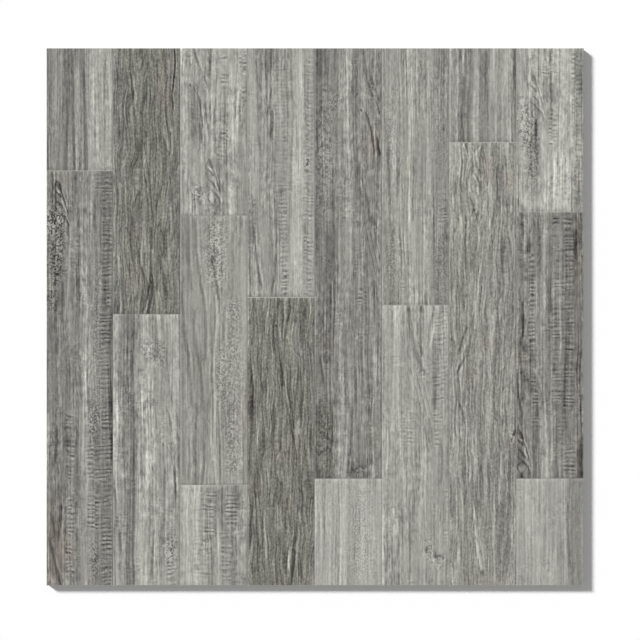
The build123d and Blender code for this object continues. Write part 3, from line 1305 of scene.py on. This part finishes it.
class Wiring:
    """Adds nodes to one tree and joins them."""

    def __init__(self, tree):
        self.tree = tree

    def add(self, kind, inputs=None, **settings):
        """A node with its settings, and with each named or numbered input linked or given a value."""
        node = self.tree.nodes.new(kind)
        for name, value in settings.items():
            setattr(node, name, value)
        for name, value in (inputs or {}).items():
            self.feed(node.inputs[name], value)
        return node

    def feed(self, socket, value):
        if isinstance(value, bpy.types.NodeSocket):
            self.tree.links.new(value, socket)
        else:
            socket.default_value = value

    def math(self, operation, first, second=0.0, third=0.0):
        inputs = {0: first, 1: second, 2: third}
        return self.add("ShaderNodeMath", inputs, operation=operation).outputs[0]

    def attribute(self, name):
        return self.add("ShaderNodeAttribute", attribute_name=name, attribute_type="GEOMETRY")

    def field(self, name):
        return self.attribute(name).outputs["Fac"]

    def part(self, vector, axis):
        return self.add("ShaderNodeSeparateXYZ", {0: vector}).outputs[axis]

    def noise(self, vector, across, down, detail=2.0, distortion=0.0):
        """Random numbers round 0, with so many waves to the millimetre across and down the grain."""
        inputs = {0: vector, 1: (across, down, 1.0)}
        place = self.add("ShaderNodeVectorMath", inputs, operation="MULTIPLY").outputs[0]
        inputs = {"Vector": place, "Scale": 1.0, "Detail": detail, "Distortion": distortion}
        level = self.add("ShaderNodeTexNoise", inputs, noise_dimensions="3D").outputs["Fac"]
        return self.math("SUBTRACT", level, 0.5)

    def wave(self, operation, phase):
        """Sine or cosine of a phase that is counted in whole waves."""
        return self.math(operation, self.math("MULTIPLY", phase, 2.0 * math.pi))

    def rise(self, value, low, high, start=0.0, end=1.0):
        inputs = {"Value": value, "From Min": low, "From Max": high, "To Min": start, "To Max": end}
        return self.add("ShaderNodeMapRange", inputs, interpolation_type="SMOOTHSTEP").outputs["Result"]

    def mix(self, factor, first, second, blend="MIX"):
        inputs = {0: factor, 6: first, 7: second}
        return self.add("ShaderNodeMix", inputs, data_type="RGBA", blend_type=blend).outputs[2]

    def total(self, *parts):
        level = parts[0]
        for part in parts[1:]:
            level = self.math("ADD", level, part)
        return level

    def product(self, *parts):
        level = parts[0]
        for part in parts[1:]:
            level = self.math("MULTIPLY", level, part)
        return level


def fine_speckle_group():
    """Fine speckle of fired porcelain, which both the glaze and the bare body show."""
    tree = bpy.data.node_groups.new("fine_speckle", "ShaderNodeTree")
    tree.interface.new_socket("Strength", in_out="INPUT", socket_type="NodeSocketFloat")
    tree.interface.new_socket("Shade", in_out="OUTPUT", socket_type="NodeSocketFloat")
    wiring = Wiring(tree)
    start = wiring.add("NodeGroupInput")
    place = wiring.add("ShaderNodeTexCoord").outputs["Object"]
    inputs = {"Vector": place, "Scale": 500.0, "Detail": 2.0, "Roughness": 0.6}
    level = wiring.add("ShaderNodeTexNoise", inputs).outputs["Fac"]
    level = wiring.math("SUBTRACT", level, 0.5)
    level = wiring.math("MULTIPLY", level, start.outputs["Strength"])
    wiring.add("NodeGroupOutput", {"Shade": level})


def speckle(wiring, strength):
    group = bpy.data.node_groups["fine_speckle"]
    return wiring.add("ShaderNodeGroup", {"Strength": strength}, node_tree=group).outputs["Shade"]


def fibre_shade(wiring, grain):
    """Fibres of several widths along the grain, with calm stretches between them."""
    fine = wiring.product(wiring.noise(grain, 0.50, 0.012, 1.5), 0.52)
    broad = wiring.product(wiring.noise(grain, 0.16, 0.004), 0.28)
    broken = wiring.product(wiring.noise(grain, 0.60, 0.14), 0.38)
    cloud = wiring.product(wiring.noise(grain, 0.13, 0.09), 0.28, wiring.field("weave"))
    busy = wiring.rise(wiring.noise(grain, 0.06, 0.012), -0.15, 0.15, 0.55, 1.25)
    return wiring.product(wiring.total(fine, broad, broken, cloud), busy, wiring.field("fibre"))


def oak_shade(wiring, grain):
    """Brushed oak: wavering strokes along the grain, long growth lines, and a finely broken ground."""
    lines = wiring.product(wiring.noise(grain, 0.52, 0.020, 1.0, 0.3), 0.46)
    ground = wiring.product(wiring.noise(grain, 0.58, 0.32, 1.0), 0.32)
    broad = wiring.product(wiring.noise(grain, 0.14, 0.010), 0.05)
    growth = wiring.noise(grain, 0.25, 0.018, 1.0, 0.5)
    dark = wiring.rise(wiring.math("ABSOLUTE", growth), 0.0, 0.06, -0.09, 0.0)
    beside = wiring.math("ABSOLUTE", wiring.math("SUBTRACT", growth, 0.09))
    light = wiring.rise(beside, 0.0, 0.06, 0.08, 0.0)
    return wiring.product(wiring.total(lines, ground, broad, dark, light), wiring.field("oak"))


def saw_shade(wiring, grain):
    """Short bars across the grain, each with its own place, strength and length, on a woven ground."""
    across = wiring.math("MULTIPLY_ADD", wiring.part(grain, "X"), 0.075, wiring.noise(grain, 0.10, 0.03))
    column = wiring.math("FLOOR", across)
    own = wiring.add("ShaderNodeCombineXYZ", {0: column, 1: wiring.part(grain, "Z")}).outputs[0]
    start = wiring.add("ShaderNodeTexWhiteNoise", {"Vector": own}, noise_dimensions="3D").outputs["Value"]
    jitter = wiring.math("MULTIPLY_ADD", wiring.noise(grain, 0.02, 0.06), 3.0, wiring.product(start, 5.0))
    phase = wiring.math("MULTIPLY_ADD", wiring.part(grain, "Y"), 0.20, jitter)
    number = wiring.math("FLOOR", wiring.math("ADD", phase, 0.5))
    bar = wiring.add("ShaderNodeCombineXYZ", {0: column, 1: number, 2: wiring.part(grain, "Z")}).outputs[0]
    luck = wiring.add("ShaderNodeTexWhiteNoise", {"Vector": bar}, noise_dimensions="3D").outputs["Value"]
    wave = wiring.wave("COSINE", phase)
    dark = wiring.rise(wave, 0.1, 1.0, 0.0, -0.16)
    light = wiring.rise(wave, -1.0, 0.0, 0.11, 0.0)
    sawn = wiring.field("sawn")
    ragged = wiring.math("MULTIPLY_ADD", wiring.noise(grain, 0.16, 0.26), 2.2, sawn)
    bars = wiring.product(
        wiring.total(dark, light),
        wiring.math("MULTIPLY_ADD", luck, 1.2, 0.15),
        wiring.rise(wiring.noise(grain, 0.45, 0.03), -0.15, 0.15, 0.4, 1.25),
        wiring.rise(ragged, 0.1, 0.9),
        sawn,
    )
    sparse = wiring.rise(wiring.noise(grain, 0.05, 0.03), -0.05, 0.2)
    ground = wiring.math("MAXIMUM", wiring.product(sparse, wiring.field("weave")), wiring.product(sawn, 0.7))
    weave = wiring.product(wiring.noise(grain, 0.22, 0.44), 0.42, ground)
    return wiring.total(bars, weave)


def pebble_shade(wiring, grain):
    """Fine raised dots."""
    dots = wiring.rise(wiring.noise(grain, 0.58, 0.52, 0.0), -0.16, 0.16, -0.07, 0.08)
    return wiring.product(dots, wiring.field("pebble"))


def burl_shade(wiring, grain):
    """Dark crumbs and curls on the burls, with lighter wood between them."""
    curls = wiring.noise(grain, 0.30, 0.26, 1.0, 1.2)
    marks = wiring.rise(curls, -0.16, 0.10, -0.19, 0.09)
    return wiring.product(marks, wiring.field("burl"))


def lines_with_painted_edge(wiring, grain):
    """Single lines of the print, each with a painted edge: painted light right of a dark line, painted shade
    left of a light one.
    """
    wobble = wiring.product(wiring.noise(grain, 0.12, 0.05), 0.35)
    phase = wiring.total(wiring.field("ring"), wobble)
    core = wiring.rise(wiring.wave("COSINE", phase), 0.1, 1.0)
    # Painted light beside a dark line and painted shade beside a light one, as a pressed line lit from the
    # right would show.
    edge = wiring.rise(wiring.wave("SINE", phase), 0.3, 1.0, 0.0, -0.5)
    return wiring.product(wiring.total(core, edge), wiring.field("vein"))


def drawn_stroke_group():
    """One stroke of the drawn figures: darkness at a place on the sheet."""
    tree = bpy.data.node_groups.new("drawn_stroke", "ShaderNodeTree")
    for name in ("X", "Y") + Stroke._fields:
        tree.interface.new_socket(name, in_out="INPUT", socket_type="NodeSocketFloat")
    tree.interface.new_socket("Level", in_out="OUTPUT", socket_type="NodeSocketFloat")
    wiring = Wiring(tree)
    given = wiring.add("NodeGroupInput").outputs
    span = {"Value": given["Y"], "From Min": given["down"], "From Max": given["end_down"], "To Min": -1.0}
    way = wiring.add("ShaderNodeMapRange", span, clamp=False).outputs["Result"]
    line = {"Value": way, "From Min": -1.0, "To Min": given["across"], "To Max": given["end_across"]}
    centre = wiring.add("ShaderNodeMapRange", line, clamp=False).outputs["Result"]
    bulge = wiring.math("SUBTRACT", 1.0, wiring.math("MULTIPLY", way, way))
    centre = wiring.math("MULTIPLY_ADD", bulge, given["bow"], centre)
    offset = wiring.math("ABSOLUTE", wiring.math("SUBTRACT", given["X"], centre))
    body = wiring.rise(offset, 0.0, given["width"], 1.0, 0.0)
    ends = wiring.rise(wiring.math("ABSOLUTE", way), 0.75, 1.15, 1.0, 0.0)
    level = wiring.product(body, ends, given["shade"])
    wiring.add("NodeGroupOutput", {"Level": level})


def drawn_shade(wiring, grain):
    """All strokes of the sheet of drawn figures, at the strength that the plank gives to its figure."""
    sheet = wiring.attribute("sheet").outputs["Vector"]
    across = wiring.math("MULTIPLY_ADD", wiring.noise(grain, 0.16, 0.10), 3.0, wiring.part(sheet, "X"))
    down = wiring.math("MULTIPLY_ADD", wiring.noise(grain, 0.12, 0.12), 3.0, wiring.part(sheet, "Y"))
    group = bpy.data.node_groups["drawn_stroke"]
    level = 0.0
    for place, strokes in enumerate(FIGURES.values()):
        for stroke in strokes:
            inputs = {"X": across, "Y": down, **stroke._asdict()}
            inputs["down"] += place * SHEET_PITCH
            inputs["end_down"] += place * SHEET_PITCH
            node = wiring.add("ShaderNodeGroup", inputs, node_tree=group)
            level = wiring.math("ADD", node.outputs["Level"], level)
    return wiring.product(level, wiring.part(sheet, "Z"))


def empty_material(name):
    """A new material without nodes, and the wiring for its own."""
    material = bpy.data.materials.new(name)
    material.use_nodes = True
    material.node_tree.nodes.clear()
    return material, Wiring(material.node_tree)


def matt_surface(wiring, colour, rough, height, depth):
    """Joins a matt surface with a fine bump to the end of a material."""
    bump = wiring.add("ShaderNodeBump", {"Strength": BUMP_STRENGTH, "Distance": depth, "Height": height})
    shader = wiring.add("ShaderNodeBsdfPrincipled", {
        "Base Color": colour,
        "Roughness": rough,
        "Specular IOR Level": SHINE,
        "Normal": bump.outputs["Normal"],
    })
    wiring.add("ShaderNodeOutputMaterial", {"Surface": shader.outputs["BSDF"]})


def print_tint(wiring, grain, colours):
    """Colour of the ink: olive on oak, reddish on the blushed spots, and grey elsewhere."""
    olive = wiring.rise(wiring.noise(grain, 0.05, 0.02), -0.2, 0.2, 0.6, 1.2)
    olive = wiring.math("MAXIMUM", wiring.product(olive, wiring.field("olive")), 0.0)
    tint = wiring.mix(wiring.math("MINIMUM", olive, 1.0), tuple(colours.ink), tuple(colours.olive_ink))
    patchy = wiring.rise(wiring.noise(grain, 0.08, 0.05), -0.2, 0.2, 0.55, 1.0)
    blush = wiring.product(wiring.field("blush"), patchy)
    return wiring.mix(wiring.math("MINIMUM", blush, 1.0), tint, tuple(colours.blush_ink))


def glaze_material(colours, name, drawn):
    """Matt glaze with the printed planks, with or without the drawn figures."""
    material, wiring = empty_material(name)
    grain = wiring.attribute("grain").outputs["Vector"]
    figure = wiring.total(
        fibre_shade(wiring, grain),
        oak_shade(wiring, grain),
        saw_shade(wiring, grain),
        pebble_shade(wiring, grain),
        burl_shade(wiring, grain),
        lines_with_painted_edge(wiring, grain),
        speckle(wiring, 0.10),
    )
    shade = wiring.total(wiring.field("shade"), figure)
    if drawn:
        shade = wiring.total(shade, drawn_shade(wiring, grain))
    shade = wiring.math("MAXIMUM", shade, DARKEST_SHADE)
    grey = wiring.add("ShaderNodeGamma", {"Color": shade, "Gamma": PRINT_GAMMA}).outputs["Color"]
    colour = wiring.mix(1.0, grey, print_tint(wiring, grain, colours), "MULTIPLY")
    colour = wiring.mix(wiring.field("joint"), colour, tuple(colours.joint))
    rough = wiring.math("MULTIPLY_ADD", figure, -0.5, colours.gloss)
    matt_surface(wiring, colour, rough, figure, GRAIN_BUMP)
    return material


def clay_material(name, clay):
    """Bare fired body, in the colour it is given. At the arris that colour is paler than at the sides and
    back, partly ground body and partly a painted highlight.
    """
    material, wiring = empty_material(name)
    place = wiring.add("ShaderNodeTexCoord").outputs["Object"]
    cloud = wiring.noise(place, 60.0, 60.0, 3.0)
    level = wiring.math("MULTIPLY_ADD", cloud, 0.25, 1.0)
    level = wiring.math("ADD", level, speckle(wiring, 0.35))
    colour = wiring.mix(1.0, tuple(clay), level, "MULTIPLY")
    rough = wiring.math("MULTIPLY_ADD", cloud, 0.2, 0.78)
    matt_surface(wiring, colour, rough, level, CLAY_BUMP)
    return material


# Stage

def floor_material():
    """Plain white that keeps the tile's shadow, and is clear from below, where the tile's back is seen."""
    material, wiring = empty_material("white_floor")
    seen = wiring.add("ShaderNodeLightPath").outputs["Is Camera Ray"]
    white = wiring.add("ShaderNodeBsdfDiffuse", {"Color": wiring.mix(seen, FLOOR_GREY, WHITE)})
    clear = wiring.add("ShaderNodeBsdfTransparent")
    below = wiring.add("ShaderNodeNewGeometry").outputs["Backfacing"]
    either = wiring.add("ShaderNodeMixShader", {0: below, 1: white.outputs[0], 2: clear.outputs[0]})
    wiring.add("ShaderNodeOutputMaterial", {"Surface": either.outputs[0]})
    return material


def white_floor():
    """A plain white floor under the tile. Light passes up through it to the tile's back."""
    bm = bmesh.new()
    bmesh.ops.create_grid(bm, x_segments=1, y_segments=1, size=FLOOR_REACH)
    mesh = bpy.data.meshes.new("floor")
    bm.to_mesh(mesh)
    bm.free()
    mesh.materials.append(floor_material())
    floor = bpy.data.objects.new("floor", mesh)
    floor.location.z = -FLOOR_GAP
    floor.visible_diffuse = False
    floor.visible_shadow = False
    bpy.context.scene.collection.objects.link(floor)


def white_world(stage):
    """Even light from all round, which the camera and reflections see as white."""
    world = bpy.data.worlds.new("studio")
    world.use_nodes = True
    world.node_tree.nodes.clear()
    wiring = Wiring(world.node_tree)
    path = wiring.add("ShaderNodeLightPath")
    seen = wiring.math("MAXIMUM", path.outputs["Is Camera Ray"], path.outputs["Is Glossy Ray"])
    seen = wiring.math("MAXIMUM", seen, path.outputs["Is Transmission Ray"])
    fill = wiring.add("ShaderNodeBackground", {"Color": WHITE, "Strength": stage.fill})
    white = wiring.add("ShaderNodeBackground", {"Color": WHITE, "Strength": 1.0})
    either = wiring.add("ShaderNodeMixShader", {0: seen, 1: fill.outputs[0], 2: white.outputs[0]})
    wiring.add("ShaderNodeOutputWorld", {"Surface": either.outputs[0]})
    bpy.context.scene.world = world


def key_light(stage):
    """A soft sun from the upper left. With the fill it lights a level surface at a plain level."""
    light = bpy.data.lights.new("key", "SUN")
    light.angle = stage.sun_softness
    light.energy = (1.0 - stage.fill) * math.pi / math.sin(stage.sun_height)
    lamp = bpy.data.objects.new("key", light)
    lamp.rotation_euler = (0.0, math.radians(-90) + stage.sun_height, -stage.sun_side)
    bpy.context.scene.collection.objects.link(lamp)


def camera_above(stage, face_height):
    """A long lens that looks straight down on the face."""
    data = bpy.data.cameras.new("camera")
    data.lens = stage.lens
    distance = stage.view_width * stage.lens / data.sensor_width
    camera = bpy.data.objects.new("camera", data)
    camera.location = (stage.shift_x, stage.shift_y, face_height + distance)
    bpy.context.scene.collection.objects.link(camera)
    bpy.context.scene.camera = camera


# Operators and panel

class FLOORTILE_OT_build_tile(bpy.types.Operator):
    """Build the dressed tile: pressed face, printed glaze, sides and ribbed back"""
    bl_idname = "floortile.build_tile"
    bl_label = "Build Tile"

    def execute(self, context):
        sizes = context.scene.tile_sizes
        colours = context.scene.tile_colours
        mesh = tile_mesh(sizes)
        print_face(mesh, sizes)
        set_sharp_edges(mesh, sizes)
        fine_speckle_group()
        drawn_stroke_group()
        mesh.materials.append(glaze_material(colours, "printed_glaze", False))
        mesh.materials.append(clay_material("fired_body", colours.clay))
        mesh.materials.append(glaze_material(colours, "drawn_glaze", True))
        # The arris: ground body, painted paler in part as a highlight along its shaded sides.
        mesh.materials.append(clay_material("ground_edge", colours.edge))
        tile = bpy.data.objects.new("dressed_tile", mesh)
        context.scene.collection.objects.link(tile)
        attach(tile, BODY)
        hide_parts(NODE)
        return {"FINISHED"}


class FLOORTILE_OT_build_stage(bpy.types.Operator):
    """Set up the white floor, the soft light and the camera above the tile"""
    bl_idname = "floortile.build_stage"
    bl_label = "Build Stage"

    def execute(self, context):
        stage = context.scene.tile_stage
        white_floor()
        white_world(stage)
        key_light(stage)
        camera_above(stage, context.scene.tile_sizes.thickness)
        context.scene.view_settings.view_transform = "Standard"
        return {"FINISHED"}


class FLOORTILE_PT_panel(bpy.types.Panel):
    """Sizes, colours and steps of the floor tile"""
    bl_idname = "FLOORTILE_PT_panel"
    bl_label = "Floor Tile"
    bl_space_type = "VIEW_3D"
    bl_region_type = "UI"
    bl_category = "Floor Tile"

    def draw(self, context):
        for settings in (context.scene.tile_sizes, context.scene.tile_colours, context.scene.tile_stage):
            box = self.layout.box()
            for name in settings.__annotations__:
                box.prop(settings, name)
        self.layout.operator("floortile.build_tile")
        self.layout.operator("floortile.build_stage")


CLASSES = (
    TileSizes,
    TileColours,
    StageSettings,
    FLOORTILE_OT_build_tile,
    FLOORTILE_OT_build_stage,
    FLOORTILE_PT_panel,
)


def register():
    for cls in CLASSES:
        bpy.utils.register_class(cls)
    bpy.types.Scene.tile_sizes = bpy.props.PointerProperty(type=TileSizes)
    bpy.types.Scene.tile_colours = bpy.props.PointerProperty(type=TileColours)
    bpy.types.Scene.tile_stage = bpy.props.PointerProperty(type=StageSettings)


def unregister():
    del bpy.types.Scene.tile_stage
    del bpy.types.Scene.tile_colours
    del bpy.types.Scene.tile_sizes
    for cls in reversed(CLASSES):
        bpy.utils.unregister_class(cls)


def main():
    register()
    bpy.ops.floortile.build_tile()
    bpy.ops.floortile.build_stage()


if __name__ == "__main__":
    main()
